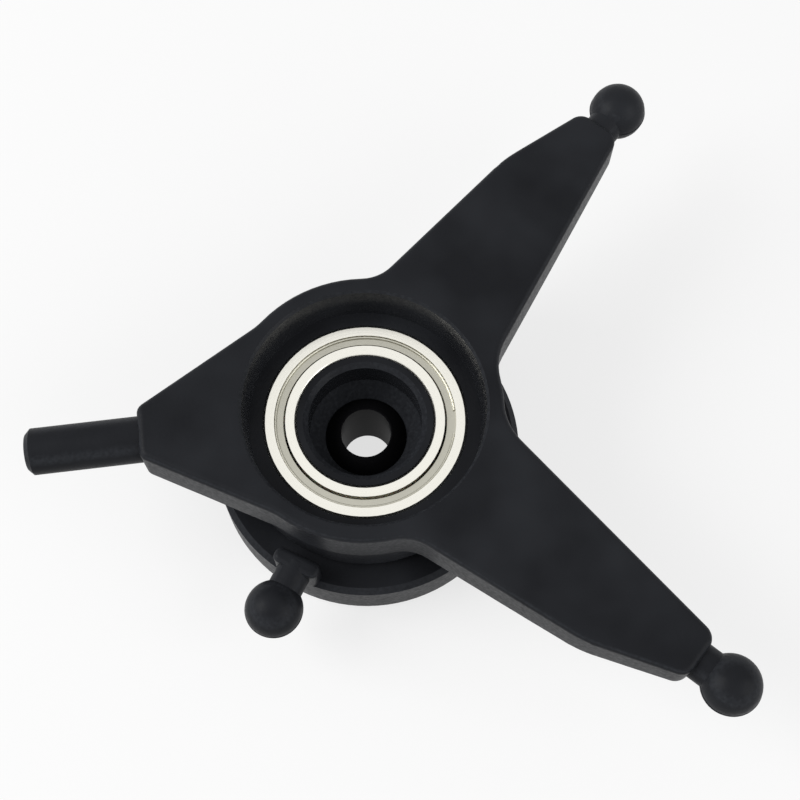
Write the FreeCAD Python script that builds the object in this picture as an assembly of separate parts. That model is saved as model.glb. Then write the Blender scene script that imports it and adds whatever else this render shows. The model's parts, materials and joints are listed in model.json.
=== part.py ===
"""Helicopter swashplate, in millimetres.

The fixed star carries two servo arms and the anti-rotation pin. The rotating ring carries two link balls and
turns in the star on a thin ball bearing. A pivot ball in the middle of the ring slides on the rotor shaft.
The origin is the centre of the pivot ball, +Z is the shaft's axis towards the star side, and the two servo
arms lie evenly on either side of +X.
"""
import FreeCAD, Part
import math
import os

os.makedirs("parts", exist_ok=True)

# ---- rotor shaft and pivot ball -------------------------------------------------------------------------
SHAFT_BORE_RADIUS = 1.5            # hole in the pivot ball, for a 3 mm rotor shaft
PIVOT_BALL_RADIUS = 3.0
PIVOT_BORE_CHAMFER = 0.12
SEAT_CLEARANCE = 0.04              # between the pivot ball and its spherical seat
SEAT_HALF_HEIGHT = 1.8             # how far the seat wraps above and below the ball's centre
CAP_WALL = 1.66                    # from the seat to the cap's outer face
CAP_RECESS = 0.1                   # cap's face inside the ring's lower face
CAP_FLARE_ANGLE = 35.0             # degrees, mouth of the cap, measured from the axis
CAP_SPANNER_SLOTS = 4
CAP_SLOT_WIDTH = 0.9
CAP_SLOT_DEPTH = 0.5
CAP_SLOT_LENGTH = 1.0

# ---- ball bearing, 8 x 12 x 3.5 -------------------------------------------------------------------------
BEARING_BORE_RADIUS = 4.0
BEARING_OUTER_RADIUS = 6.0
BEARING_WIDTH = 3.5
BEARING_LOWER_FACE = 1.4           # height of its lower face above the pivot's centre
RACE_CORNER = 0.15
BALL_TO_SECTION = 0.595            # ball's size as a share of the bearing's radial section
SHOULDER_TO_BALL = 0.55            # where the race's shoulder stands, as a share of the ball's radius
BALL_COUNT = 12
GROOVE_CLEARANCE = 0.015           # raceway radius over ball radius
SHIELD_THICKNESS = 0.15
SHIELD_RECESS = 0.2                # shield's outer face below the race's face
SHIELD_GAP = 0.13                  # running gap from shield to inner race
SHIELD_SEAT_DEPTH = 0.2            # how deep the shield's edge sits in the outer race
CAGE_CLEARANCE = 0.1               # from the cage to either race
POCKET_CLEARANCE = 0.05
CAGE_BACK_WALL = 0.305             # cage's back ring above its ball pockets
PRONG_TO_POCKET = 0.165            # cage's prongs end this far above the bottom of the pockets

# ---- fixed star -----------------------------------------------------------------------------------------
LEDGE_WIDTH = 0.8                  # level ledge of the cup round the bearing's upper face
CUP_DRAFT = 0.2                    # how much the cup closes in from rim to floor
RIM_WALL = 1.0                     # wall of the cup at its rim
RIM_HEIGHT = 2.6                   # cup's rim above the bearing's upper face
RIM_CHAMFER = 0.15                 # broken edge of the cup's mouth
STAR_LIP_THICKNESS = 0.6           # shoulder under the outer race
STAR_LIP_WIDTH = 0.55              # how far that shoulder reaches in under the race
BARREL_STEP = 0.3                  # hub's barrel under the arms stands in from the hub's rim
BARREL_CHAMFER = 0.35
ARM_THICKNESS = 3.3                # arms at the hub, from their underside up to the rim
ARM_TIP_RISE = 0.7                 # how far the underside has curved up at an arm's tip
UNDERSIDE_FLAT = 1.5               # level part of the underside round the hub
STAR_TOP_ROUND = 0.4
STAR_BOTTOM_ROUND = 0.22
SERVO_BALL_REACH = 25.3            # shaft axis to servo ball centre, in plan
SERVO_ARM_ANGLE = 45.0             # each servo arm from +X, so the arms stand at 90 degrees
SERVO_BALL_RADIUS = 1.7
SERVO_BALL_HEIGHT = 1.2            # servo ball's centre above the bearing's upper face
SERVO_NECK_RADIUS = 1.1
SERVO_NECK_LENGTH = 2.1            # ball's centre to the end of the arm
ARM_ROOT_SINK = 4.0                # how far inside the hub's wall the arm's outline starts
ARM_ROOT_HALF_WIDTH = 4.6
ARM_KNEE_TO_BALL = 7.6             # knee in the outer edge, from the servo ball
ARM_KNEE_HALF_WIDTH = 3.25
ARM_TIP_HALF_WIDTH = 1.4
ARM_TIP_ROUND = 0.9
ARM_KNEE_ROUND = 8.0
ARM_FILLET = 2.5                   # from an arm's outer edge into the hub
CROTCH_FILLET = 3.5                # from an arm's inner edge into the hub, between the arms
PIN_REACH = 19.4                   # shaft axis to the anti-rotation pin's end
PIN_RADIUS = 1.35
PIN_LENGTH = 6.5                   # free length outside the web
PIN_HEIGHT = 1.1                   # pin's axis above the bearing's upper face
PIN_CHAMFER = 0.3
WEB_SHOULDER = 0.15                # web's end stands out beside the pin
WEB_SINK = 0.25                    # the web's sides aim at a circle this far inside the hub's wall
WEB_TIP_ROUND = 0.6
WEB_FILLET = 4.0                   # from the web's sides into the hub

# ---- rotating ring --------------------------------------------------------------------------------------
RING_OVERHANG = 1.35               # ring beyond the hub's wall
RING_TO_STAR_GAP = 0.4
BALL_END_GAP = 0.75                # ring's lower face below the pivot ball's end
RING_CHAMFER = 0.35
TUBE_WALL = 0.65                   # ring's tube inside the inner race
TUBE_CHAMFER = 0.3
RACE_STEP = 0.65                   # step that carries the inner race
CORE_INNER_WALL = 1.0              # between the cap and the moulded hollow in the lower face
CORE_OUTER_WALL = 0.9              # between that hollow and the ring's edge
CORE_DEPTH = 0.9
LINK_BALL_REACH = 11.7
LINK_BALL_RADIUS = 1.7
LINK_BALL_HEIGHT = 1.3             # link ball's centre above the pivot's centre
LINK_BALL_ANGLE = 236.0            # first link ball from +X; the other is opposite
LINK_BALL_COUNT = 2
LINK_NECK_RADIUS = 1.05
LUG_WIDTH = 2.9
LUG_RISE = 1.0                     # lug's top above the link ball's centre
LUG_TO_STAR_GAP = 0.35
LUG_ROUND = 0.4
LUG_TOP_ROUND = 0.3

# ---- sizes that follow ----------------------------------------------------------------------------------
BEARING_UPPER_FACE = BEARING_LOWER_FACE + BEARING_WIDTH
BEARING_MIDDLE = BEARING_LOWER_FACE + BEARING_WIDTH / 2
BALL_PITCH_RADIUS = (BEARING_BORE_RADIUS + BEARING_OUTER_RADIUS) / 2
BALL_RADIUS = BALL_TO_SECTION * (BEARING_OUTER_RADIUS - BEARING_BORE_RADIUS) / 2
POCKET_RADIUS = BALL_RADIUS + POCKET_CLEARANCE
CAGE_TOP = BEARING_MIDDLE + POCKET_RADIUS + CAGE_BACK_WALL
CAGE_BOTTOM = BEARING_MIDDLE - POCKET_RADIUS + PRONG_TO_POCKET
SHOULDER_DISTANCE = SHOULDER_TO_BALL * BALL_RADIUS
INNER_SHOULDER_RADIUS = BALL_PITCH_RADIUS - SHOULDER_DISTANCE
OUTER_SHOULDER_RADIUS = BALL_PITCH_RADIUS + SHOULDER_DISTANCE
CUP_FLOOR_RADIUS = BEARING_OUTER_RADIUS + LEDGE_WIDTH
CUP_MOUTH_RADIUS = CUP_FLOOR_RADIUS + CUP_DRAFT
HUB_RADIUS = CUP_MOUTH_RADIUS + RIM_WALL
RIM_TOP = BEARING_UPPER_FACE + RIM_HEIGHT
ARM_BOTTOM = RIM_TOP - ARM_THICKNESS
ARM_TIP_REACH = SERVO_BALL_REACH - SERVO_NECK_LENGTH
STAR_BOTTOM = BEARING_LOWER_FACE - STAR_LIP_THICKNESS
SERVO_BALL_Z = BEARING_UPPER_FACE + SERVO_BALL_HEIGHT
PIN_Z = BEARING_UPPER_FACE + PIN_HEIGHT
PIN_ROOT_REACH = PIN_REACH - PIN_LENGTH
SEAT_RADIUS = PIVOT_BALL_RADIUS + SEAT_CLEARANCE
CAP_OUTER_RADIUS = SEAT_RADIUS + CAP_WALL
PIVOT_BALL_END = math.sqrt(PIVOT_BALL_RADIUS ** 2 - SHAFT_BORE_RADIUS ** 2)
RING_RADIUS = HUB_RADIUS + RING_OVERHANG
RING_TOP = STAR_BOTTOM - RING_TO_STAR_GAP
RING_BOTTOM = -(PIVOT_BALL_END + BALL_END_GAP)
RING_MIDDLE = (RING_TOP + RING_BOTTOM) / 2
TUBE_BORE_RADIUS = BEARING_BORE_RADIUS - TUBE_WALL

TINY = 1e-3                        # places nearer than this are the same
LOOKING_DOWN = -0.95               # upward part of the normal of a face that looks down
ORIGIN = FreeCAD.Vector(0, 0, 0)
AXIS_X = FreeCAD.Vector(1, 0, 0)
AXIS_Y = FreeCAD.Vector(0, 1, 0)
AXIS_Z = FreeCAD.Vector(0, 0, 1)


def revolve(profile):
    """Turn a closed (radius, height) outline about the shaft's axis."""
    points = [FreeCAD.Vector(radius, 0, height) for radius, height in profile]
    face = Part.Face(Part.makePolygon(points + points[:1]))
    return face.revolve(ORIGIN, AXIS_Z, 360)


def cylinder(radius, bottom, top):
    return Part.makeCylinder(radius, top - bottom, FreeCAD.Vector(0, 0, bottom))


def sphere(radius, x, z):
    return Part.makeSphere(radius, FreeCAD.Vector(x, 0, z))


def radial_rod(radius, start, end, height):
    """A round rod along +X from one reach to another."""
    return Part.makeCylinder(radius, end - start, FreeCAD.Vector(start, 0, height), AXIS_X)


def prism(points, bottom, top):
    """Stand a closed (x, y) outline up between two heights."""
    corners = [FreeCAD.Vector(x, y, bottom) for x, y in points]
    face = Part.Face(Part.makePolygon(corners + corners[:1]))
    return face.extrude(FreeCAD.Vector(0, 0, top - bottom))


def turned(shape, degrees):
    copy = shape.copy()
    copy.rotate(ORIGIN, AXIS_Z, degrees)
    return copy


def upright_edges(shape):
    """A prism's vertical edges."""
    upright = []
    for edge in shape.Edges:
        start, end = edge.Vertexes[0].Point, edge.Vertexes[-1].Point
        if abs(end.z - start.z) > TINY and math.hypot(start.x - end.x, start.y - end.y) < TINY:
            upright.append(edge)
    return upright


def level_faces(shape, height):
    """A shape's flat level faces at one height."""
    return [face for face in shape.Faces
            if isinstance(face.Surface, Part.Plane) and face.BoundBox.ZLength < TINY
            and abs(face.CenterOfMass.z - height) < TINY]


def save(shape, node):
    solid = shape.removeSplitter()
    if len(solid.Solids) == 1:
        solid = solid.Solids[0]
    if not solid.isValid():
        raise ValueError(node + " is not a valid solid")
    print(node, round(solid.Volume, 3), len(solid.Faces), len(solid.Solids))
    solid.exportStep(os.path.join("parts", node + ".step"))


# ---- ball bearing ---------------------------------------------------------------------------------------
def raceway():
    centre = FreeCAD.Vector(0, 0, BEARING_MIDDLE)
    return Part.makeTorus(BALL_PITCH_RADIUS, BALL_RADIUS + GROOVE_CLEARANCE, centre)


def shield_level(side):
    """Lower and upper face of the shield on the lower (-1) or upper (+1) side."""
    outer_face = BEARING_MIDDLE + side * (BEARING_WIDTH / 2 - SHIELD_RECESS)
    inner_face = outer_face - side * SHIELD_THICKNESS
    return min(outer_face, inner_face), max(outer_face, inner_face)


def bearing_outer_race():
    corner = RACE_CORNER
    low, high = BEARING_LOWER_FACE, BEARING_UPPER_FACE
    body = revolve([
        (OUTER_SHOULDER_RADIUS, low), (BEARING_OUTER_RADIUS - corner, low),
        (BEARING_OUTER_RADIUS, low + corner), (BEARING_OUTER_RADIUS, high - corner),
        (BEARING_OUTER_RADIUS - corner, high), (OUTER_SHOULDER_RADIUS, high)])
    seat_radius = OUTER_SHOULDER_RADIUS + SHIELD_SEAT_DEPTH
    for side in (-1, 1):
        bottom, top = shield_level(side)
        body = body.cut(cylinder(seat_radius, bottom, top))
    return body.cut(raceway())


def bearing_inner_race():
    corner = RACE_CORNER
    low, high = BEARING_LOWER_FACE, BEARING_UPPER_FACE
    body = revolve([
        (BEARING_BORE_RADIUS + corner, low), (INNER_SHOULDER_RADIUS, low),
        (INNER_SHOULDER_RADIUS, high), (BEARING_BORE_RADIUS + corner, high),
        (BEARING_BORE_RADIUS, high - corner), (BEARING_BORE_RADIUS, low + corner)])
    return body.cut(raceway())


def bearing_ball(index):
    ball = sphere(BALL_RADIUS, BALL_PITCH_RADIUS, BEARING_MIDDLE)
    return turned(ball, 360 / BALL_COUNT * index)


def bearing_cage():
    """A moulded crown cage: a back ring with a round pocket snapped over each ball."""
    half_wall = SHOULDER_DISTANCE - CAGE_CLEARANCE
    outer = cylinder(BALL_PITCH_RADIUS + half_wall, CAGE_BOTTOM, CAGE_TOP)
    cage = outer.cut(cylinder(BALL_PITCH_RADIUS - half_wall, STAR_BOTTOM, RIM_TOP))
    pocket = sphere(POCKET_RADIUS, BALL_PITCH_RADIUS, BEARING_MIDDLE)
    pockets = [turned(pocket, 360 / BALL_COUNT * index) for index in range(BALL_COUNT)]
    return cage.cut(Part.makeCompound(pockets))


def bearing_shield(side):
    bottom, top = shield_level(side)
    plate = cylinder(OUTER_SHOULDER_RADIUS + SHIELD_SEAT_DEPTH, bottom, top)
    return plate.cut(cylinder(INNER_SHOULDER_RADIUS + SHIELD_GAP, bottom, top))


# ---- fixed star -----------------------------------------------------------------------------------------
def arm_outline():
    """One servo arm along +X in plan, its knee on the +Y side."""
    root = HUB_RADIUS - ARM_ROOT_SINK
    knee = SERVO_BALL_REACH - ARM_KNEE_TO_BALL
    return [(root, -ARM_ROOT_HALF_WIDTH), (ARM_TIP_REACH, -ARM_TIP_HALF_WIDTH),
            (ARM_TIP_REACH, ARM_TIP_HALF_WIDTH), (knee, ARM_KNEE_HALF_WIDTH), (root, ARM_ROOT_HALF_WIDTH)]


def web_outline():
    """The wedge that carries the anti-rotation pin, along +X in plan. Its sides graze the hub's wall."""
    half_width = PIN_RADIUS + WEB_SHOULDER
    root_radius = HUB_RADIUS - WEB_SINK
    root_angle = math.acos(root_radius / math.hypot(PIN_ROOT_REACH, half_width))
    root_angle = root_angle + math.atan2(half_width, PIN_ROOT_REACH)
    root_x = root_radius * math.cos(root_angle)
    root_y = root_radius * math.sin(root_angle)
    return [(root_x, -root_y), (PIN_ROOT_REACH, -half_width), (PIN_ROOT_REACH, half_width), (root_x, root_y)]


def corner_round(edge):
    """The round of a corner of the star's plan, from where it stands."""
    place = edge.CenterOfMass
    reach = math.hypot(place.x, place.y)
    if place.x < 0:
        return WEB_FILLET if reach < HUB_RADIUS + TINY else WEB_TIP_ROUND
    if reach < HUB_RADIUS + TINY:
        between_arms = abs(math.degrees(math.atan2(place.y, place.x))) < SERVO_ARM_ANGLE
        return CROTCH_FILLET if between_arms else ARM_FILLET
    return ARM_TIP_ROUND if reach > ARM_TIP_REACH else ARM_KNEE_ROUND


def star_plan():
    """Hub, arms and web as one outline with rounded corners, raised from the arms' underside to the rim."""
    hub = turned(cylinder(HUB_RADIUS, ARM_BOTTOM, RIM_TOP), SERVO_ARM_ANGLE)
    left = turned(prism(arm_outline(), ARM_BOTTOM, RIM_TOP), SERVO_ARM_ANGLE)
    web = turned(prism(web_outline(), ARM_BOTTOM, RIM_TOP), 180)
    plan = hub.fuse([left, left.mirror(ORIGIN, AXIS_Y), web]).removeSplitter().Solids[0]
    corners = {}
    for edge in upright_edges(plan):
        corners.setdefault(corner_round(edge), []).append(edge.CenterOfMass)
    for radius, places in corners.items():
        edges = [edge for edge in upright_edges(plan)
                 if any(edge.CenterOfMass.distanceToPoint(place) < TINY for place in places)]
        plan = plan.makeFillet(radius, edges)
    return plan


def arm_envelope():
    """Everything between the rim's level and the arms' underside, which curves up towards the tips."""
    start = HUB_RADIUS + UNDERSIDE_FLAT
    run = ARM_TIP_REACH - start
    bend = (run ** 2 + ARM_TIP_RISE ** 2) / (2 * ARM_TIP_RISE)

    def underside(radius):
        return FreeCAD.Vector(radius, 0, ARM_BOTTOM + bend - math.sqrt(bend ** 2 - (radius - start) ** 2))

    level = FreeCAD.Vector(0, 0, ARM_BOTTOM)
    centre = FreeCAD.Vector(0, 0, RIM_TOP)
    edge = FreeCAD.Vector(SERVO_BALL_REACH, 0, RIM_TOP)
    rise = Part.Arc(underside(start), underside((start + SERVO_BALL_REACH) / 2), underside(SERVO_BALL_REACH))
    outline = Part.Wire([
        Part.makeLine(level, underside(start)), rise.toShape(),
        Part.makeLine(underside(SERVO_BALL_REACH), edge), Part.makeLine(edge, centre),
        Part.makeLine(centre, level)])
    return Part.Face(outline).revolve(ORIGIN, AXIS_Z, 360)


def underside_edges(slab):
    """The outer edges of the faces that look down, without the seams between them."""
    edges = []
    for face in slab.Faces:
        u_low, u_high, v_low, v_high = face.ParameterRange
        if face.normalAt((u_low + u_high) / 2, (v_low + v_high) / 2).z < LOOKING_DOWN:
            edges.extend(face.Edges)
    return [edge for edge in edges if sum(edge.isSame(other) for other in edges) == 1]


def barrel():
    """The hub under the arms, which holds the bearing's seat."""
    radius = HUB_RADIUS - BARREL_STEP
    return revolve([
        (0, STAR_BOTTOM), (radius - BARREL_CHAMFER, STAR_BOTTOM), (radius, STAR_BOTTOM + BARREL_CHAMFER),
        (radius, RIM_TOP - RIM_CHAMFER), (0, RIM_TOP - RIM_CHAMFER)])


def hub_hollow():
    """Everything bored out of the hub: open cup with a broken edge, bearing seat and lip."""
    lip_radius = BEARING_OUTER_RADIUS - STAR_LIP_WIDTH
    mouth = CUP_MOUTH_RADIUS + RIM_CHAMFER
    return revolve([
        (0, STAR_BOTTOM), (lip_radius, STAR_BOTTOM), (lip_radius, BEARING_LOWER_FACE),
        (BEARING_OUTER_RADIUS, BEARING_LOWER_FACE), (BEARING_OUTER_RADIUS, BEARING_UPPER_FACE),
        (CUP_FLOOR_RADIUS, BEARING_UPPER_FACE), (CUP_MOUTH_RADIUS, RIM_TOP - RIM_CHAMFER), (mouth, RIM_TOP),
        (0, RIM_TOP)])


def servo_ball():
    """A servo ball on its neck, along +X."""
    neck = radial_rod(SERVO_NECK_RADIUS, ARM_TIP_REACH - SERVO_NECK_LENGTH, SERVO_BALL_REACH, SERVO_BALL_Z)
    return neck.fuse(sphere(SERVO_BALL_RADIUS, SERVO_BALL_REACH, SERVO_BALL_Z))


def anti_rotation_pin():
    """The pin along +X, with a broken edge at its end, from inside the web."""
    pin = radial_rod(PIN_RADIUS, PIN_ROOT_REACH - PIN_RADIUS, PIN_REACH, PIN_Z)
    end = [edge for edge in pin.Edges
           if isinstance(edge.Curve, Part.Circle) and edge.CenterOfMass.x > PIN_REACH - TINY]
    return pin.makeChamfer(PIN_CHAMFER, end)


def swash_star():
    slab = star_plan().common(arm_envelope()).Solids[0]
    slab = slab.makeFillet(STAR_TOP_ROUND, level_faces(slab, RIM_TOP)[0].OuterWire.Edges)
    slab = slab.makeFillet(STAR_BOTTOM_ROUND, underside_edges(slab))
    balls = [turned(servo_ball(), side * SERVO_ARM_ANGLE) for side in (-1, 1)]
    star = slab.fuse([barrel(), turned(anti_rotation_pin(), 180)] + balls)
    return star.cut(hub_hollow())


# ---- rotating ring --------------------------------------------------------------------------------------
def seat_hollow(bottom, top):
    """The part of the pivot ball's spherical seat between two heights."""
    return sphere(SEAT_RADIUS, 0, 0).common(cylinder(SEAT_RADIUS, bottom, top))


def seat_mouth_radius():
    return math.sqrt(SEAT_RADIUS ** 2 - SEAT_HALF_HEIGHT ** 2)


def link_arm():
    """A lug on the ring's edge with a neck and a link ball, along +X."""
    start = HUB_RADIUS + LUG_TO_STAR_GAP
    lug_top = LINK_BALL_HEIGHT + LUG_RISE
    block = Part.makeBox(
        RING_RADIUS - start, LUG_WIDTH, lug_top - RING_MIDDLE,
        FreeCAD.Vector(start, -LUG_WIDTH / 2, RING_MIDDLE))
    lug = turned(cylinder(RING_RADIUS, RING_MIDDLE, lug_top), 180).common(block).Solids[0]
    lug = lug.makeFillet(LUG_ROUND, upright_edges(lug))
    lug = lug.makeFillet(LUG_TOP_ROUND, level_faces(lug, lug_top)[0].Edges)
    neck = radial_rod(LINK_NECK_RADIUS, start + LUG_ROUND, LINK_BALL_REACH, LINK_BALL_HEIGHT)
    return lug.fuse([neck, sphere(LINK_BALL_RADIUS, LINK_BALL_REACH, LINK_BALL_HEIGHT)])


def ring_bore():
    """The tube's bore and its broken edge, down to the mouth of the ball's seat."""
    mouth = seat_mouth_radius()
    mouth_bottom = SEAT_HALF_HEIGHT - TUBE_CHAMFER
    chamfer_bottom = BEARING_UPPER_FACE - TUBE_CHAMFER
    return revolve([
        (0, mouth_bottom), (mouth, mouth_bottom), (mouth, SEAT_HALF_HEIGHT),
        (TUBE_BORE_RADIUS, SEAT_HALF_HEIGHT + TUBE_BORE_RADIUS - mouth), (TUBE_BORE_RADIUS, chamfer_bottom),
        (TUBE_BORE_RADIUS + TUBE_CHAMFER, BEARING_UPPER_FACE), (0, BEARING_UPPER_FACE)])


def rotating_ring():
    """Plate, race step and tube in one turned body, with a link arm on each side."""
    step_radius = BEARING_BORE_RADIUS + RACE_STEP
    edge = RING_RADIUS - RING_CHAMFER
    body = revolve([
        (0, RING_BOTTOM), (edge, RING_BOTTOM), (RING_RADIUS, RING_BOTTOM + RING_CHAMFER),
        (RING_RADIUS, RING_TOP - RING_CHAMFER), (edge, RING_TOP), (step_radius, RING_TOP),
        (step_radius, BEARING_LOWER_FACE), (BEARING_BORE_RADIUS, BEARING_LOWER_FACE),
        (BEARING_BORE_RADIUS, BEARING_UPPER_FACE), (0, BEARING_UPPER_FACE)])
    turn = 360 / LINK_BALL_COUNT
    arms = [turned(link_arm(), LINK_BALL_ANGLE + turn * index) for index in range(LINK_BALL_COUNT)]
    core_top = RING_BOTTOM + CORE_DEPTH
    core = cylinder(RING_RADIUS - CORE_OUTER_WALL, RING_BOTTOM, core_top)
    core = core.cut(cylinder(CAP_OUTER_RADIUS + CORE_INNER_WALL, RING_BOTTOM, core_top))
    cap_seat = cylinder(CAP_OUTER_RADIUS, RING_BOTTOM, 0)
    return body.fuse(arms).cut([ring_bore(), cap_seat, core, seat_hollow(0, SEAT_HALF_HEIGHT)])


def pivot_ball_cap():
    """The screw-in collar that closes the lower half of the pivot ball's seat."""
    cap_bottom = RING_BOTTOM + CAP_RECESS
    cap = cylinder(CAP_OUTER_RADIUS, cap_bottom, 0)
    mouth = seat_mouth_radius()
    flare = mouth + (abs(cap_bottom) - SEAT_HALF_HEIGHT) * math.tan(math.radians(CAP_FLARE_ANGLE))
    cap = cap.cut(revolve([
        (0, 0), (mouth, 0), (mouth, -SEAT_HALF_HEIGHT), (flare, cap_bottom), (0, cap_bottom)]))
    cap = cap.cut(seat_hollow(-SEAT_HALF_HEIGHT, 0))
    slot = Part.makeBox(
        CAP_OUTER_RADIUS, CAP_SLOT_WIDTH, CAP_SLOT_DEPTH,
        FreeCAD.Vector(CAP_OUTER_RADIUS - CAP_SLOT_LENGTH, -CAP_SLOT_WIDTH / 2, cap_bottom))
    slots = [turned(slot, 360 / CAP_SPANNER_SLOTS * index) for index in range(CAP_SPANNER_SLOTS)]
    return cap.cut(slots)


def pivot_ball():
    """A sphere with the shaft's bore through it and a broken edge at each end of the bore."""
    bore = cylinder(SHAFT_BORE_RADIUS, -PIVOT_BALL_RADIUS, PIVOT_BALL_RADIUS)
    ball = sphere(PIVOT_BALL_RADIUS, 0, 0).cut(bore)
    for side in (-1, 1):
        end = side * PIVOT_BALL_END
        inside = end - side * PIVOT_BORE_CHAMFER
        ball = ball.cut(revolve([
            (0, inside), (SHAFT_BORE_RADIUS, inside), (SHAFT_BORE_RADIUS + PIVOT_BORE_CHAMFER, end),
            (0, end)]))
    return ball


save(swash_star(), "swash_star")
save(bearing_outer_race(), "bearing_outer_race")
save(bearing_inner_race(), "bearing_inner_race")
for number in range(BALL_COUNT):
    save(bearing_ball(number), "bearing_ball_%02d" % (number + 1))
save(bearing_cage(), "bearing_cage")
save(bearing_shield(1), "bearing_shield_upper")
save(bearing_shield(-1), "bearing_shield_lower")
save(rotating_ring(), "rotating_ring")
save(pivot_ball_cap(), "pivot_ball_cap")
save(pivot_ball(), "pivot_ball")
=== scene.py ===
import json
import math

import bpy
from mathutils import Matrix, Vector


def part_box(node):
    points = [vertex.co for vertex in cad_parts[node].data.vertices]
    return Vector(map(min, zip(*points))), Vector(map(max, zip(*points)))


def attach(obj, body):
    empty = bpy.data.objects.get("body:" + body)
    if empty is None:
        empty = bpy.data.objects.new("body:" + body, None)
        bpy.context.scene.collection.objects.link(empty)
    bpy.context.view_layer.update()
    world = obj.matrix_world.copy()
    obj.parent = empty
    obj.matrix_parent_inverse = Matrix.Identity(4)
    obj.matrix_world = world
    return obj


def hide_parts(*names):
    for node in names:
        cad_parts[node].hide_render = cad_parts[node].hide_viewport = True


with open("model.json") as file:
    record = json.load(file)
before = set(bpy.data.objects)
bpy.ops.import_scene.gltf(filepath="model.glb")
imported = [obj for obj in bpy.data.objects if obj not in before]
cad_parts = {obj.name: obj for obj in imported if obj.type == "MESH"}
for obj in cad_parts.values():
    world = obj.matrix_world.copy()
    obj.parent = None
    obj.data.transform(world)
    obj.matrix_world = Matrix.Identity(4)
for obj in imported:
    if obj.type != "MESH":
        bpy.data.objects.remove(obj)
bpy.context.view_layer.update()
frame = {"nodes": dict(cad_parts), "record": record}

bl_info = {
    "name": "Swashplate dresser",
    "version": (1, 0, 0),
    "blender": (4, 5, 0),
    "location": "3D View > Sidebar > Swashplate",
    "description": "Gives a helicopter swashplate its moulded nylon, bearing steel and studio stage",
    "category": "Object",
}

MM = 0.001
ARM_THICKNESS = 3.3 * MM           # from the star's rim down to the arms' underside
STAR_MARK_CIRCLE = 8.75 * MM       # where the star's ejector pins stood
RING_MARK_CIRCLE = 7.1 * MM        # where the ring's ejector pins stood
HOLLOW_DEPTH = 0.9 * MM            # moulded hollow in the ring's lower face
CLIP_WIRE_RADIUS = 0.07 * MM
CLIP_RING_RADIUS = 5.25 * MM
CLIP_SWEEP = math.radians(344)
CLIP_SIDES = 120
WIRE_SECTION_SIDES = 10
LINE_SECTION_SIDES = 8
EJECTOR_SIDES = 40
STAR_EJECTORS = 3
RING_EJECTORS = 6
BALL_SUBDIVISIONS = 4
FLOOR_GLOW = 0.72                  # share of the floor that shows plain white and takes no shadow
FLOOR_FADE_START = 50 * MM         # from here out the floor fades into the white background
FLOOR_FADE_END = 140 * MM
FLOOR_GAP = 0.02 * MM              # keeps the floor from flickering through the ring's lower face
FLOOR_HALF_WIDTH = 0.3
FLOOR_CORNERS = ((-1, -1), (1, -1), (1, 1), (-1, 1))
KEY_PLACE = Vector((-0.24, 0.03, 0.20))
FILL_PLACE = Vector((0.20, -0.12, 0.16))
LAMP_SIZE = 0.20
FILL_SHARE = 0.4                   # of the key lamp's power
NEAREST_SEEN, FARTHEST_SEEN = 1 * MM, 10.0


# ---- sizes read from the frame --------------------------------------------------------------------------
def mount(name):
    """One of the record's mounts, by name."""
    return next(m for m in frame["record"]["mounts"] if m["name"] == name)


def nodes_named(start):
    """The CAD nodes whose names begin alike, in order."""
    return sorted(name for name in frame["nodes"] if name.startswith(start))


BALL_NODES = nodes_named("bearing_ball_")
BALL_LOW, BALL_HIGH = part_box(BALL_NODES[0])
BALL_CENTRE = (BALL_LOW + BALL_HIGH) / 2
RING_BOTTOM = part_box("rotating_ring")[0].z
SERVO_BALLS = [Vector(mount(name)["pos_m"]) for name in ("servo_ball_left", "servo_ball_right")]
LINK_BALLS = [Vector(mount(name)["pos_m"]) for name in ("link_ball_front", "link_ball_rear")]
MOULDED_BALL_RADIUS = mount("servo_ball_left")["dims"]["r_mm"] * MM


# ---- what a user may change -----------------------------------------------------------------------------
class NylonFinish(bpy.types.PropertyGroup):
    """Black glass-filled nylon, injection moulded in a spark-eroded tool."""
    colour: bpy.props.StringProperty(name="Colour", description="sRGB hex of the nylon", default="#1C1D20")
    worn: bpy.props.StringProperty(
        name="Worn colour", description="sRGB hex where handling greys it", default="#34363A")
    roughness: bpy.props.FloatProperty(
        name="Roughness", description="Satin level of the moulded skin",
        default=0.4, min=0, max=1, subtype="FACTOR")
    grain: bpy.props.FloatProperty(
        name="Spark grain", description="Width of one grain of the tool's eroded face",
        default=0.22 * MM, min=0.02 * MM, precision=6, unit="LENGTH")
    ripple: bpy.props.FloatProperty(
        name="Sink ripple", description="Length of the soft waves left by cooling",
        default=4.5 * MM, min=0.5 * MM, precision=6, unit="LENGTH")


class BearingFinish(bpy.types.PropertyGroup):
    """The bearing: ground races, pressed shields, lapped balls and a moulded cage."""
    race: bpy.props.StringProperty(
        name="Race colour", description="sRGB hex of the ground races", default="#F0EEE5")
    shield: bpy.props.StringProperty(
        name="Shield colour", description="sRGB hex of the pressed shields", default="#BAB8AC")
    ball: bpy.props.StringProperty(
        name="Ball colour", description="sRGB hex of the lapped balls", default="#DADADA")
    roughness: bpy.props.FloatProperty(
        name="Roughness", description="Dullness of the grinding",
        default=0.24, min=0, max=1, subtype="FACTOR")
    lay: bpy.props.FloatProperty(
        name="Grinding lay", description="Spacing of the grinding lines",
        default=0.09 * MM, min=0.01 * MM, precision=6, unit="LENGTH")
    cage: bpy.props.StringProperty(
        name="Cage colour", description="sRGB hex of the cage's nylon", default="#CFC6AB")
    cage_pale: bpy.props.StringProperty(
        name="Pale cage colour", description="sRGB hex of the cage where it is thin", default="#DED7C2")


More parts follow.
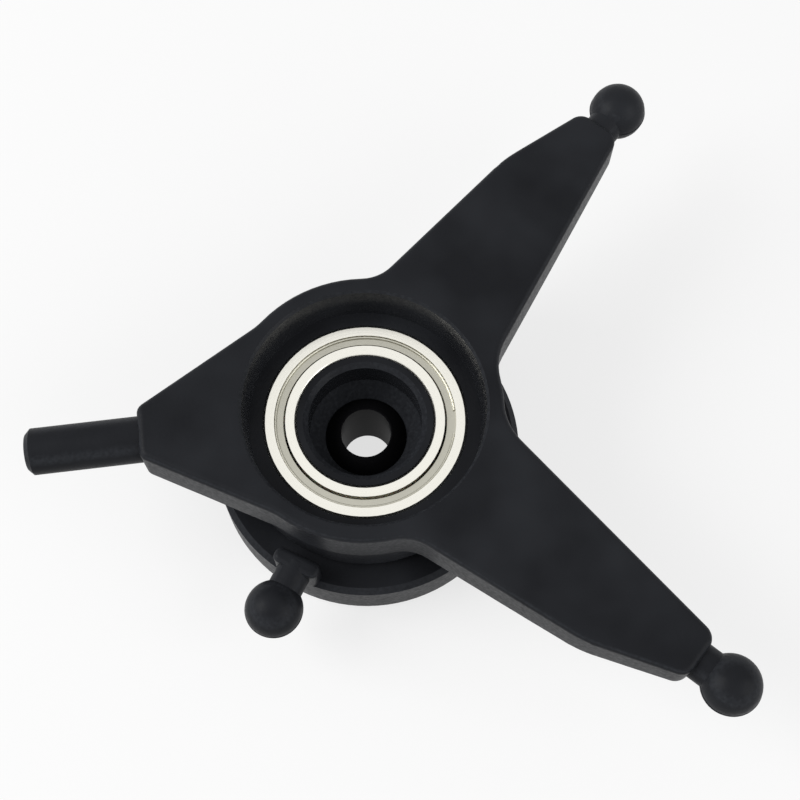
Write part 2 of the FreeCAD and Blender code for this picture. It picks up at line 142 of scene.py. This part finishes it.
class AcetalFinish(bpy.types.PropertyGroup):
    """Black acetal rod, turned."""
    colour: bpy.props.StringProperty(name="Colour", description="sRGB hex of the acetal", default="#0B0B0C")
    ridge: bpy.props.StringProperty(
        name="Ridge colour", description="sRGB hex along the tool lines", default="#131315")
    tool_feed: bpy.props.FloatProperty(
        name="Tool feed", description="Spacing of the turning lines",
        default=0.08 * MM, min=0.01 * MM, precision=6, unit="LENGTH")


class MouldMarks(bpy.types.PropertyGroup):
    """The faint raised marks that the tool's halves and pins left."""
    line_width: bpy.props.FloatProperty(
        name="Line width", description="Width of a parting line",
        default=0.07 * MM, precision=6, unit="LENGTH")
    line_height: bpy.props.FloatProperty(
        name="Line height", description="How far a parting line stands up",
        default=0.025 * MM, precision=6, unit="LENGTH")
    sides: bpy.props.IntProperty(
        name="Sides", description="Segments round a parting line", default=72, min=12)
    ejector_radius: bpy.props.FloatProperty(
        name="Ejector radius", description="Radius of an ejector pin's mark",
        default=0.55 * MM, precision=6, unit="LENGTH")
    ejector_height: bpy.props.FloatProperty(
        name="Ejector height", description="How far an ejector pin's mark stands up",
        default=0.03 * MM, precision=6, unit="LENGTH")


class StageSettings(bpy.types.PropertyGroup):
    """Camera, lamps and floor."""
    turn: bpy.props.FloatProperty(
        name="Turn", description="How far the part is turned in the view", default=math.radians(7.0),
        subtype="ANGLE")
    elevation: bpy.props.FloatProperty(
        name="Elevation", description="Camera above the bearing's plane",
        default=math.radians(70), subtype="ANGLE")
    roll: bpy.props.FloatProperty(
        name="Roll", description="Camera turned about its own axis", default=0.0, subtype="ANGLE")
    distance: bpy.props.FloatProperty(
        name="Distance", description="Camera to the pivot ball's centre",
        default=90 * MM, precision=4, unit="LENGTH")
    lens: bpy.props.FloatProperty(
        name="Lens", description="Focal length in millimetres", default=65.75, unit="CAMERA")
    slide_x: bpy.props.FloatProperty(
        name="Slide across", description="Part's centre right of the view's centre",
        default=-2.04 * MM, precision=6, unit="LENGTH")
    slide_y: bpy.props.FloatProperty(
        name="Slide up", description="Part's centre above the view's centre",
        default=-2.83 * MM, precision=6, unit="LENGTH")
    lamp_power: bpy.props.FloatProperty(
        name="Lamp power", description="Key lamp, watts", default=0.75, unit="POWER")
    sky: bpy.props.FloatProperty(name="Sky strength", description="Even light from all sides", default=0.35)
    floor: bpy.props.StringProperty(
        name="Floor colour", description="sRGB hex of the floor", default="#F4F4F4")


GROUPS = {"nylon": NylonFinish, "bearing": BearingFinish, "acetal": AcetalFinish, "marks": MouldMarks,
          "stage": StageSettings}


def settings(scene, group):
    """One property group, as the scene holds it."""
    return getattr(scene, "swash_" + group)


# ---- finishes: typical values for each material, then matched --------------------------------------------
NOISE_LOW, NOISE_HIGH = 0.3, 0.7   # a noise pattern stays almost wholly between these
RIM_TILT = 0.7                     # how far up a half-turned rim faces
RIM_CORE, RIM_REACH = 0.05, 0.25   # how near that counts as rubbed in full, and at all

CUP_RADIUS = 7.15 * MM             # the polished core that shaped the cup and the bores
CUP_BLEND = 0.1 * MM               # over which the polish gives way to the eroded skin
CUP_POLISH = 0.16                  # how much less rough that core left them
NYLON_NAME = "moulded_glass_filled_nylon"
NYLON_IOR = 1.53
NYLON_SPECULAR = 0.05              # set far under the usual 0.5, to stay near-black on a white floor
NYLON_SPREAD = 0.07                # how far the grain moves the roughness, either way
FADE_START, FADE_END, FADE_MOST = 0.3, 0.8, 0.5   # cloud values where handling greys it, and how much
SINK_DEPTH, SINK_STRENGTH = 0.08 * MM, 0.5
GRAIN_DEPTH, GRAIN_STRENGTH = 0.015 * MM, 0.6

LINE_DEPTH = 0.004 * MM            # of the grinding lines and of the turning lines
LAY_STRENGTH = 0.35
RACE_BRIGHTER, RACE_DULLER = 0.06, 0.08   # how far the lay moves the roughness down and up
SHEET_MOTTLE = 0.5 * MM
SHEET_DEPTH, SHEET_STRENGTH = 0.006 * MM, 0.4
SHEET_ROUGHNESS = (0.3, 0.42)
BALL_HAZE = 0.3 * MM
BALL_ROUGHNESS = (0.04, 0.1)
CAGE_CLOUD = 1.2 * MM
CAGE_ROUGHNESS = (0.42, 0.55)
CAGE_LIGHT, CAGE_LIGHT_DEPTH = 0.15, 0.3 * MM    # light that enters the nylon, and how far it spreads

ACETAL_IOR = 1.48
ACETAL_SPECULAR = 0.03             # set in the same way
ACETAL_ROUGHNESS = (0.4, 0.5)
TURNING_STRENGTH = 0.4

FLOOR_ROUGHNESS, FLOOR_SPECULAR = 0.9, 0.1
WHITE = "#FFFFFF"


# ---- colours and node trees -----------------------------------------------------------------------------
def linear(hex_colour):
    """An sRGB hex colour as the linear RGBA that a shader socket takes."""
    channels = [int(hex_colour[i:i + 2], 16) / 255 for i in (1, 3, 5)]
    return [c / 12.92 if c <= 0.04045 else ((c + 0.055) / 1.055) ** 2.4 for c in channels] + [1.0]


def set_inputs(tree, node, inputs):
    """Set or link a node's inputs, given by name or number."""
    for key, value in inputs.items():
        if isinstance(value, bpy.types.NodeSocket):
            tree.links.new(value, node.inputs[key])
        else:
            node.inputs[key].default_value = value


def add(tree, kind, inputs=None, **values):
    """Add a node with its settings, and its inputs set or linked."""
    node = tree.nodes.new(kind)
    for name, value in values.items():
        setattr(node, name, value)
    set_inputs(tree, node, inputs or {})
    return node


def new_material(name):
    """An empty material and its tree, with the output and a Principled shader joined."""
    material = bpy.data.materials.new(name)
    material.use_nodes = True
    tree = material.node_tree
    tree.nodes.clear()
    shader = add(tree, "ShaderNodeBsdfPrincipled")
    add(tree, "ShaderNodeOutputMaterial", {"Surface": shader.outputs["BSDF"]})
    return material, tree, shader


def radius_from_axis(tree, where):
    """Distance from the shaft's axis, which turned and ground faces follow, and the height along it."""
    parts = add(tree, "ShaderNodeSeparateXYZ", {"Vector": where})
    flat = add(tree, "ShaderNodeCombineXYZ", {"X": parts.outputs["X"], "Y": parts.outputs["Y"]})
    reach = add(tree, "ShaderNodeVectorMath", {0: flat.outputs["Vector"]}, operation="LENGTH")
    return reach.outputs["Value"], parts.outputs["Z"]


def turning_lines(tree, spacing):
    """Fine lines round the shaft's axis, alike on flat faces and on round ones."""
    radius, height = radius_from_axis(tree, add(tree, "ShaderNodeTexCoord").outputs["Object"])
    along = add(tree, "ShaderNodeMath", {0: radius, 1: height}, operation="ADD")
    line = add(tree, "ShaderNodeCombineXYZ", {"X": along.outputs["Value"]})
    return add(tree, "ShaderNodeTexNoise", {
        "Vector": line.outputs["Vector"], "Scale": 1 / spacing, "Detail": 1.0}).outputs["Fac"]


def rubbed_edges(tree, grain):
    """Where a face turns from up to sideways, as it does on a rounded rim, broken up by the grain."""
    normal = add(tree, "ShaderNodeTexCoord").outputs["Normal"]
    facing = add(tree, "ShaderNodeSeparateXYZ", {"Vector": normal})
    turning = add(tree, "ShaderNodeMath", {0: facing.outputs["Z"], 1: RIM_TILT}, operation="SUBTRACT")
    off_edge = add(tree, "ShaderNodeMath", {0: turning.outputs["Value"]}, operation="ABSOLUTE")
    edge = add(tree, "ShaderNodeMapRange", {
        "Value": off_edge.outputs["Value"], "From Min": RIM_CORE, "From Max": RIM_REACH,
        "To Min": 1.0, "To Max": 0.0})
    broken_up = add(tree, "ShaderNodeMath", {0: edge.outputs["Result"], 1: grain}, operation="MULTIPLY")
    return broken_up.outputs["Value"]


# ---- materials ------------------------------------------------------------------------------------------
# A colour Mix node's sockets, by number: its factor, its two colours, and its colour output.
MIX_FACTOR, MIX_FIRST, MIX_SECOND, MIX_RESULT = 0, 6, 7, 2


def moulded_nylon(finish):
    """Black glass-filled nylon, moulded: near-black satin with an eroded grain that breaks up each highlight.

    The real grain is too fine to show, so it is drawn as coarse as it needs to be."""
    material, tree, shader = new_material(NYLON_NAME)
    where = add(tree, "ShaderNodeTexCoord").outputs["Object"]
    cloud = add(tree, "ShaderNodeTexNoise", {
        "Vector": where, "Scale": 1 / finish.ripple, "Detail": 2.0}).outputs["Fac"]
    grain = add(tree, "ShaderNodeTexNoise", {
        "Vector": where, "Scale": 1 / finish.grain, "Detail": 2.0}).outputs["Fac"]
    faded = add(tree, "ShaderNodeMapRange", {
        "Value": cloud, "From Min": FADE_START, "From Max": FADE_END, "To Min": 0.0, "To Max": FADE_MOST})
    rubbed = add(tree, "ShaderNodeMath", {
        0: faded.outputs["Result"], 1: rubbed_edges(tree, grain)}, operation="MAXIMUM")
    colour = add(tree, "ShaderNodeMix", {
        MIX_FACTOR: rubbed.outputs["Value"], MIX_FIRST: linear(finish.colour),
        MIX_SECOND: linear(finish.worn)}, data_type="RGBA")
    radius, _ = radius_from_axis(tree, where)
    polish = add(tree, "ShaderNodeMapRange", {
        "Value": radius, "From Min": CUP_RADIUS, "From Max": CUP_RADIUS + CUP_BLEND,
        "To Min": CUP_POLISH, "To Max": 0.0})
    grainy = add(tree, "ShaderNodeMapRange", {
        "Value": grain, "From Min": NOISE_LOW, "From Max": NOISE_HIGH,
        "To Min": finish.roughness - NYLON_SPREAD, "To Max": finish.roughness + NYLON_SPREAD})
    rough = add(tree, "ShaderNodeMath", {
        0: grainy.outputs["Result"], 1: polish.outputs["Result"]}, operation="SUBTRACT")
    sunk = add(tree, "ShaderNodeBump", {"Height": cloud, "Distance": SINK_DEPTH, "Strength": SINK_STRENGTH})
    eroded = add(tree, "ShaderNodeBump", {
        "Height": grain, "Distance": GRAIN_DEPTH, "Strength": GRAIN_STRENGTH,
        "Normal": sunk.outputs["Normal"]})
    set_inputs(tree, shader, {
        "Base Color": colour.outputs[MIX_RESULT], "Roughness": rough.outputs["Value"], "IOR": NYLON_IOR,
        "Specular IOR Level": NYLON_SPECULAR, "Normal": eroded.outputs["Normal"]})
    return material


def ground_steel(finish):
    """Chrome bearing steel, ground: bright and slightly warm, with fine lines round the shaft's axis.

    The real lines are too fine to show, so they are drawn as coarse as they need to be."""
    material, tree, shader = new_material("ground_bearing_steel")
    lines = turning_lines(tree, finish.lay)
    rough = add(tree, "ShaderNodeMapRange", {
        "Value": lines, "From Min": NOISE_LOW, "From Max": NOISE_HIGH,
        "To Min": finish.roughness - RACE_BRIGHTER, "To Max": finish.roughness + RACE_DULLER})
    scored = add(tree, "ShaderNodeBump", {"Height": lines, "Distance": LINE_DEPTH, "Strength": LAY_STRENGTH})
    set_inputs(tree, shader, {
        "Base Color": linear(finish.race), "Metallic": 1.0, "Roughness": rough.outputs["Result"],
        "Normal": scored.outputs["Normal"]})
    return material


def pressed_stainless(finish):
    """Thin stainless sheet, pressed: satin grey with a soft rolled mottle."""
    material, tree, shader = new_material("pressed_stainless_sheet")
    where = add(tree, "ShaderNodeTexCoord").outputs["Object"]
    mottle = add(tree, "ShaderNodeTexNoise", {
        "Vector": where, "Scale": 1 / SHEET_MOTTLE, "Detail": 3.0}).outputs["Fac"]
    rough = add(tree, "ShaderNodeMapRange", {
        "Value": mottle, "From Min": NOISE_LOW, "From Max": NOISE_HIGH,
        "To Min": SHEET_ROUGHNESS[0], "To Max": SHEET_ROUGHNESS[1]})
    rolled = add(tree, "ShaderNodeBump", {
        "Height": mottle, "Distance": SHEET_DEPTH, "Strength": SHEET_STRENGTH})
    set_inputs(tree, shader, {
        "Base Color": linear(finish.shield), "Metallic": 1.0, "Roughness": rough.outputs["Result"],
        "Normal": rolled.outputs["Normal"]})
    return material


def lapped_steel(finish):
    """Chrome steel balls, lapped: a mirror with the least haze."""
    material, tree, shader = new_material("lapped_ball_steel")
    where = add(tree, "ShaderNodeTexCoord").outputs["Object"]
    haze = add(tree, "ShaderNodeTexNoise", {"Vector": where, "Scale": 1 / BALL_HAZE, "Detail": 3.0})
    rough = add(tree, "ShaderNodeMapRange", {
        "Value": haze.outputs["Fac"], "From Min": NOISE_LOW, "From Max": NOISE_HIGH,
        "To Min": BALL_ROUGHNESS[0], "To Max": BALL_ROUGHNESS[1]})
    set_inputs(tree, shader, {
        "Base Color": linear(finish.ball), "Metallic": 1.0, "Roughness": rough.outputs["Result"]})
    return material


def natural_nylon(finish):
    """Unfilled natural nylon, moulded: milky cream with a little light inside it."""
    material, tree, shader = new_material("natural_nylon")
    where = add(tree, "ShaderNodeTexCoord").outputs["Object"]
    cloud = add(tree, "ShaderNodeTexNoise", {
        "Vector": where, "Scale": 1 / CAGE_CLOUD, "Detail": 3.0}).outputs["Fac"]
    colour = add(tree, "ShaderNodeMix", {
        MIX_FACTOR: cloud, MIX_FIRST: linear(finish.cage),
        MIX_SECOND: linear(finish.cage_pale)}, data_type="RGBA")
    rough = add(tree, "ShaderNodeMapRange", {
        "Value": cloud, "From Min": NOISE_LOW, "From Max": NOISE_HIGH,
        "To Min": CAGE_ROUGHNESS[0], "To Max": CAGE_ROUGHNESS[1]})
    set_inputs(tree, shader, {
        "Base Color": colour.outputs[MIX_RESULT], "Roughness": rough.outputs["Result"],
        "Subsurface Weight": CAGE_LIGHT, "Subsurface Scale": CAGE_LIGHT_DEPTH})
    return material


def turned_acetal(finish):
    """Black acetal, turned: deep black and waxy, with fine tool lines round the bore."""
    material, tree, shader = new_material("turned_black_acetal")
    lines = turning_lines(tree, finish.tool_feed)
    colour = add(tree, "ShaderNodeMix", {
        MIX_FACTOR: lines, MIX_FIRST: linear(finish.colour),
        MIX_SECOND: linear(finish.ridge)}, data_type="RGBA")
    rough = add(tree, "ShaderNodeMapRange", {
        "Value": lines, "From Min": NOISE_LOW, "From Max": NOISE_HIGH,
        "To Min": ACETAL_ROUGHNESS[0], "To Max": ACETAL_ROUGHNESS[1]})
    turned = add(tree, "ShaderNodeBump", {
        "Height": lines, "Distance": LINE_DEPTH, "Strength": TURNING_STRENGTH})
    set_inputs(tree, shader, {
        "Base Color": colour.outputs[MIX_RESULT], "Roughness": rough.outputs["Result"], "IOR": ACETAL_IOR,
        "Specular IOR Level": ACETAL_SPECULAR, "Normal": turned.outputs["Normal"]})
    return material


def seen_directly(tree):
    """One for rays from the lens, or bounced off metal or through glass, and zero for light on its way."""
    paths = add(tree, "ShaderNodeLightPath")
    seen = paths.outputs["Is Camera Ray"]
    for kind in ("Is Glossy Ray", "Is Transmission Ray"):
        either = add(tree, "ShaderNodeMath", {0: seen, 1: paths.outputs[kind]}, operation="MAXIMUM")
        seen = either.outputs["Value"]
    return seen


def studio_floor(colour):
    """Matt pale board: it shows white to the lens and in reflections, and still takes a soft shadow."""
    material, tree, shader = new_material("matt_pale_board")
    set_inputs(tree, shader, {
        "Base Color": linear(colour), "Roughness": FLOOR_ROUGHNESS, "Specular IOR Level": FLOOR_SPECULAR})
    glow = add(tree, "ShaderNodeEmission", {"Color": linear(WHITE), "Strength": 1.0})
    radius, _ = radius_from_axis(tree, add(tree, "ShaderNodeTexCoord").outputs["Object"])
    fade = add(tree, "ShaderNodeMapRange", {
        "Value": radius, "From Min": FLOOR_FADE_START, "From Max": FLOOR_FADE_END,
        "To Min": FLOOR_GLOW, "To Max": 1.0})
    share = add(tree, "ShaderNodeMath", {
        0: seen_directly(tree), 1: fade.outputs["Result"]}, operation="MULTIPLY")
    blend = add(tree, "ShaderNodeMixShader", {
        0: share.outputs["Value"], 1: shader.outputs["BSDF"], 2: glow.outputs["Emission"]})
    output = next(node for node in tree.nodes if node.type == "OUTPUT_MATERIAL")
    tree.links.new(blend.outputs["Shader"], output.inputs["Surface"])
    return material


def white_sky(strength):
    """Even white light. The lens and reflections see full white."""
    world = bpy.data.worlds.new("studio_sky")
    world.use_nodes = True
    tree = world.node_tree
    tree.nodes.clear()
    level = add(tree, "ShaderNodeMapRange", {"Value": seen_directly(tree), "To Min": strength, "To Max": 1.0})
    background = add(tree, "ShaderNodeBackground", {
        "Color": linear(WHITE), "Strength": level.outputs["Result"]})
    add(tree, "ShaderNodeOutputWorld", {"Surface": background.outputs["Background"]})
    return world


def nylon_of(scene):
    """The star's and the ring's nylon, made on first use."""
    return bpy.data.materials.get(NYLON_NAME) or moulded_nylon(settings(scene, "nylon"))


def paint(node, material):
    """Give one carried-over CAD node its finish."""
    mesh = frame["nodes"][node].data
    mesh.materials.clear()
    mesh.materials.append(material)


# ---- geometry nodes -------------------------------------------------------------------------------------
def new_geometry_tree(name, sizes):
    """A tree that takes points and named sizes, given as (name, kind) pairs, and gives geometry."""
    tree = bpy.data.node_groups.new(name, "GeometryNodeTree")
    tree.interface.new_socket("Geometry", in_out="OUTPUT", socket_type="NodeSocketGeometry")
    tree.interface.new_socket("Points", in_out="INPUT", socket_type="NodeSocketGeometry")
    for label, kind in sizes:
        tree.interface.new_socket(label, in_out="INPUT", socket_type="NodeSocket" + kind)
    return tree, add(tree, "NodeGroupInput").outputs


def set_on_points(tree, points, geometry, material):
    """End a tree: the geometry stands on each point as real mesh, with its material."""
    placed = add(tree, "GeometryNodeInstanceOnPoints", {"Points": points, "Instance": geometry})
    real = add(tree, "GeometryNodeRealizeInstances", {"Geometry": placed.outputs["Instances"]})
    painted = add(tree, "GeometryNodeSetMaterial", {
        "Geometry": real.outputs["Geometry"], "Material": material})
    add(tree, "NodeGroupOutput", {"Geometry": painted.outputs["Geometry"]})


def grown_piece(name, tree, points, sizes, body):
    """Run a tree on a mesh of points, keep its result as a plain mesh, and let it ride on a body."""
    seed_mesh = bpy.data.meshes.new(name + "_points")
    seed_mesh.from_pydata([tuple(point) for point in points], [], [])
    seed = bpy.data.objects.new(name + "_points", seed_mesh)
    bpy.context.scene.collection.objects.link(seed)
    modifier = seed.modifiers.new("grow", "NODES")
    modifier.node_group = tree
    for item in tree.interface.items_tree:
        if item.name in sizes:
            modifier[item.identifier] = sizes[item.name]
    evaluated = seed.evaluated_get(bpy.context.evaluated_depsgraph_get())
    mesh = bpy.data.meshes.new_from_object(evaluated)
    mesh.name = name
    seed.modifiers.remove(modifier)
    bpy.data.objects.remove(seed)
    piece = bpy.data.objects.new(name, mesh)
    bpy.context.scene.collection.objects.link(piece)
    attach(piece, body)
    return piece


def ball_set_tree(material):
    """Balls on a level circle round each point."""
    tree, given = new_geometry_tree("ball_set", [
        ("Count", "Int"), ("Pitch Radius", "Float"), ("Ball Radius", "Float")])
    circle = add(tree, "GeometryNodeMeshCircle", {
        "Vertices": given["Count"], "Radius": given["Pitch Radius"]})
    ball = add(tree, "GeometryNodeMeshIcoSphere", {
        "Radius": given["Ball Radius"], "Subdivisions": BALL_SUBDIVISIONS})
    smooth = add(tree, "GeometryNodeSetShadeSmooth", {"Geometry": ball.outputs["Mesh"]})
    balls = add(tree, "GeometryNodeInstanceOnPoints", {
        "Points": circle.outputs["Mesh"], "Instance": smooth.outputs["Geometry"]})
    set_on_points(tree, given["Points"], balls.outputs["Instances"], material)
    return tree


def parting_line_tree(material):
    """A thin raised ring in a level plane, where the tool's halves met round a moulded ball."""
    tree, given = new_geometry_tree("parting_line", [
        ("Ball Radius", "Float"), ("Width", "Float"), ("Height", "Float"), ("Sides", "Int")])
    ring = add(tree, "GeometryNodeCurvePrimitiveCircle", {
        "Resolution": given["Sides"], "Radius": given["Ball Radius"]})
    half = add(tree, "ShaderNodeMath", {0: given["Width"], 1: 2.0}, operation="DIVIDE")
    section = add(tree, "GeometryNodeCurvePrimitiveCircle", {
        "Resolution": LINE_SECTION_SIDES, "Radius": half.outputs["Value"]})
    flatness = add(tree, "ShaderNodeMath", {0: given["Height"], 1: half.outputs["Value"]}, operation="DIVIDE")
    squeeze = add(tree, "ShaderNodeCombineXYZ", {"X": flatness.outputs["Value"], "Y": 1.0, "Z": 1.0})
    bead = add(tree, "GeometryNodeTransform", {
        "Geometry": section.outputs["Curve"], "Scale": squeeze.outputs["Vector"]})
    swept = add(tree, "GeometryNodeCurveToMesh", {
        "Curve": ring.outputs["Curve"], "Profile Curve": bead.outputs["Geometry"]})
    smooth = add(tree, "GeometryNodeSetShadeSmooth", {"Geometry": swept.outputs["Mesh"]})
    set_on_points(tree, given["Points"], smooth.outputs["Geometry"], material)
    return tree


def ejector_mark_tree(material):
    """Round marks on a level circle, half sunk, where the tool's pins pushed the moulding out."""
    tree, given = new_geometry_tree("ejector_marks", [
        ("Count", "Int"), ("Circle Radius", "Float"), ("Mark Radius", "Float"), ("Height", "Float"),
        ("Start", "Float")])
    circle = add(tree, "GeometryNodeMeshCircle", {
        "Vertices": given["Count"], "Radius": given["Circle Radius"]})
    turn = add(tree, "ShaderNodeCombineXYZ", {"Z": given["Start"]})
    turned = add(tree, "GeometryNodeTransform", {
        "Geometry": circle.outputs["Mesh"], "Rotation": turn.outputs["Vector"]})
    depth = add(tree, "ShaderNodeMath", {0: given["Height"], 1: 2.0}, operation="MULTIPLY")
    mark = add(tree, "GeometryNodeMeshCylinder", {
        "Vertices": EJECTOR_SIDES, "Radius": given["Mark Radius"], "Depth": depth.outputs["Value"]})
    marks = add(tree, "GeometryNodeInstanceOnPoints", {
        "Points": turned.outputs["Geometry"], "Instance": mark.outputs["Mesh"]})
    set_on_points(tree, given["Points"], marks.outputs["Instances"], material)
    return tree


def clip_wire_tree(material):
    """An open ring of spring wire round the shaft's axis, with flat ends."""
    tree, given = new_geometry_tree("clip_wire", [
        ("Ring Radius", "Float"), ("Wire Radius", "Float"), ("Sweep", "Float"), ("Sides", "Int")])
    arc = add(tree, "GeometryNodeCurveArc", {
        "Resolution": given["Sides"], "Radius": given["Ring Radius"], "Sweep Angle": given["Sweep"]})
    section = add(tree, "GeometryNodeCurvePrimitiveCircle", {
        "Resolution": WIRE_SECTION_SIDES, "Radius": given["Wire Radius"]})
    wire = add(tree, "GeometryNodeCurveToMesh", {
        "Curve": arc.outputs["Curve"], "Profile Curve": section.outputs["Curve"], "Fill Caps": True})
    smooth = add(tree, "GeometryNodeSetShadeSmooth", {"Geometry": wire.outputs["Mesh"]})
    set_on_points(tree, given["Points"], smooth.outputs["Geometry"], material)
    return tree


def parting_lines(scene, name, centres, body):
    """A parting line round each moulded ball that a body carries."""
    marks = settings(scene, "marks")
    grown_piece(name + "_parting_lines", parting_line_tree(nylon_of(scene)), centres, {
        "Ball Radius": MOULDED_BALL_RADIUS, "Width": marks.line_width, "Height": marks.line_height,
        "Sides": marks.sides}, body)


def ejector_marks(scene, name, count, circle_radius, level, body):
    """The tool's pin marks in one level face of a moulding."""
    marks = settings(scene, "marks")
    grown_piece(name + "_ejector_marks", ejector_mark_tree(nylon_of(scene)), [(0, 0, level)], {
        "Count": count, "Circle Radius": circle_radius, "Mark Radius": marks.ejector_radius,
        "Height": marks.ejector_height, "Start": math.pi}, body)


def clip_wires(material):
    """The spring-wire ring that holds each shield in the outer race, on the shield's outer face."""
    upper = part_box("bearing_shield_upper")[1].z + CLIP_WIRE_RADIUS
    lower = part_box("bearing_shield_lower")[0].z - CLIP_WIRE_RADIUS
    grown_piece("shield_clips", clip_wire_tree(material), [(0, 0, upper), (0, 0, lower)], {
        "Ring Radius": CLIP_RING_RADIUS, "Wire Radius": CLIP_WIRE_RADIUS, "Sweep": CLIP_SWEEP,
        "Sides": CLIP_SIDES}, "star")


# ---- operators ------------------------------------------------------------------------------------------
class SWASH_OT_star(bpy.types.Operator):
    """Finish the fixed star in moulded nylon, with its parting lines and ejector marks"""
    bl_idname = "swash.star"
    bl_label = "Fixed star"

    def execute(self, context):
        paint("swash_star", nylon_of(context.scene))
        parting_lines(context.scene, "servo_ball", SERVO_BALLS, "star")
        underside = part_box("swash_star")[1].z - ARM_THICKNESS
        ejector_marks(context.scene, "star", STAR_EJECTORS, STAR_MARK_CIRCLE, underside, "star")
        return {"FINISHED"}


class SWASH_OT_ring(bpy.types.Operator):
    """Finish the rotating ring and its cap in moulded nylon, with parting lines and ejector marks"""
    bl_idname = "swash.ring"
    bl_label = "Rotating ring"

    def execute(self, context):
        for node in ("rotating_ring", "pivot_ball_cap"):
            paint(node, nylon_of(context.scene))
        parting_lines(context.scene, "link_ball", LINK_BALLS, "rotor")
        hollow = RING_BOTTOM + HOLLOW_DEPTH
        ejector_marks(context.scene, "ring", RING_EJECTORS, RING_MARK_CIRCLE, hollow, "rotor")
        return {"FINISHED"}


class SWASH_OT_bearing(bpy.types.Operator):
    """Finish the bearing's races, shields and cage, and add its smooth lapped balls and clip wires"""
    bl_idname = "swash.bearing"
    bl_label = "Ball bearing"

    def execute(self, context):
        finish = settings(context.scene, "bearing")
        races = ground_steel(finish)
        for node in nodes_named("bearing_inner") + nodes_named("bearing_outer"):
            paint(node, races)
        sheet = pressed_stainless(finish)
        for node in nodes_named("bearing_shield"):
            paint(node, sheet)
        paint("bearing_cage", natural_nylon(finish))
        balls = grown_piece("bearing_balls", ball_set_tree(lapped_steel(finish)), [(0, 0, BALL_CENTRE.z)], {
            "Count": len(BALL_NODES), "Pitch Radius": BALL_CENTRE.xy.length,
            "Ball Radius": (BALL_HIGH.z - BALL_LOW.z) / 2}, "cage")
        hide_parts(*BALL_NODES)
        clip_wires(sheet)
        return {"FINISHED"}


class SWASH_OT_pivot(bpy.types.Operator):
    """Finish the pivot ball in turned black acetal"""
    bl_idname = "swash.pivot"
    bl_label = "Pivot ball"

    def execute(self, context):
        paint("pivot_ball", turned_acetal(settings(context.scene, "acetal")))
        return {"FINISHED"}


class SWASH_OT_stage(bpy.types.Operator):
    """Set the camera, the soft lamps and the pale floor"""
    bl_idname = "swash.stage"
    bl_label = "Studio stage"

    def execute(self, context):
        stage = settings(context.scene, "stage")
        place_camera(context.scene, stage)
        lamp("key_lamp", KEY_PLACE, stage.lamp_power)
        lamp("fill_lamp", FILL_PLACE, stage.lamp_power * FILL_SHARE)
        lay_floor(stage)
        context.scene.world = white_sky(stage.sky)
        context.scene.view_settings.view_transform = "Standard"
        return {"FINISHED"}


def place_camera(scene, stage):
    """Look at the pivot ball from above the front, with the part turned and the camera rolled."""
    spin = Matrix.Rotation(-stage.turn, 3, "Z")
    sine, cosine = math.sin(stage.elevation), math.cos(stage.elevation)
    right, up, back = Vector((1, 0, 0)), Vector((0, sine, cosine)), Vector((0, -cosine, sine))
    place = back * stage.distance - right * stage.slide_x - up * stage.slide_y
    roll_sine, roll_cosine = math.sin(stage.roll), math.cos(stage.roll)
    rolled_right = right * roll_cosine - up * roll_sine
    rolled_up = right * roll_sine + up * roll_cosine
    axes = Matrix((spin @ rolled_right, spin @ rolled_up, spin @ back)).transposed()
    data = bpy.data.cameras.new("camera")
    data.lens = stage.lens
    data.clip_start, data.clip_end = NEAREST_SEEN, FARTHEST_SEEN
    camera = bpy.data.objects.new("camera", data)
    camera.matrix_world = Matrix.Translation(spin @ place) @ axes.to_4x4()
    scene.collection.objects.link(camera)
    scene.camera = camera


def lamp(name, place, power):
    """A soft square lamp that faces the part."""
    data = bpy.data.lights.new(name, "AREA")
    data.size = LAMP_SIZE
    data.energy = power
    lit = bpy.data.objects.new(name, data)
    lit.location = place
    lit.rotation_euler = place.to_track_quat("Z", "Y").to_euler()
    bpy.context.scene.collection.objects.link(lit)


def lay_floor(stage):
    """A wide level board, just clear of the ring's lower face."""
    level = RING_BOTTOM - FLOOR_GAP
    mesh = bpy.data.meshes.new("floor")
    corners = [(x * FLOOR_HALF_WIDTH, y * FLOOR_HALF_WIDTH, level) for x, y in FLOOR_CORNERS]
    mesh.from_pydata(corners, [], [(0, 1, 2, 3)])
    mesh.materials.append(studio_floor(stage.floor))
    floor = bpy.data.objects.new("floor", mesh)
    bpy.context.scene.collection.objects.link(floor)


OPERATORS = (SWASH_OT_star, SWASH_OT_ring, SWASH_OT_bearing, SWASH_OT_pivot, SWASH_OT_stage)


class SWASH_PT_panel(bpy.types.Panel):
    """Everything that dresses the swashplate, in the order in which it is run"""
    bl_idname = "SWASH_PT_panel"
    bl_label = "Swashplate"
    bl_space_type = "VIEW_3D"
    bl_region_type = "UI"
    bl_category = "Swashplate"

    def draw(self, context):
        for operator in OPERATORS:
            self.layout.operator(operator.bl_idname)
        for group, kind in GROUPS.items():
            box = self.layout.box()
            box.label(text=group.capitalize())
            for name in kind.__annotations__:
                box.prop(settings(context.scene, group), name)


def register():
    for kind in (*GROUPS.values(), *OPERATORS, SWASH_PT_panel):
        bpy.utils.register_class(kind)
    for group, kind in GROUPS.items():
        setattr(bpy.types.Scene, "swash_" + group, bpy.props.PointerProperty(type=kind))


def unregister():
    for group in GROUPS:
        delattr(bpy.types.Scene, "swash_" + group)
    for kind in reversed((*GROUPS.values(), *OPERATORS, SWASH_PT_panel)):
        bpy.utils.unregister_class(kind)


def main():
    register()
    bpy.ops.swash.star()
    bpy.ops.swash.ring()
    bpy.ops.swash.bearing()
    bpy.ops.swash.pivot()
    bpy.ops.swash.stage()


if __name__ == "__main__":
    main()
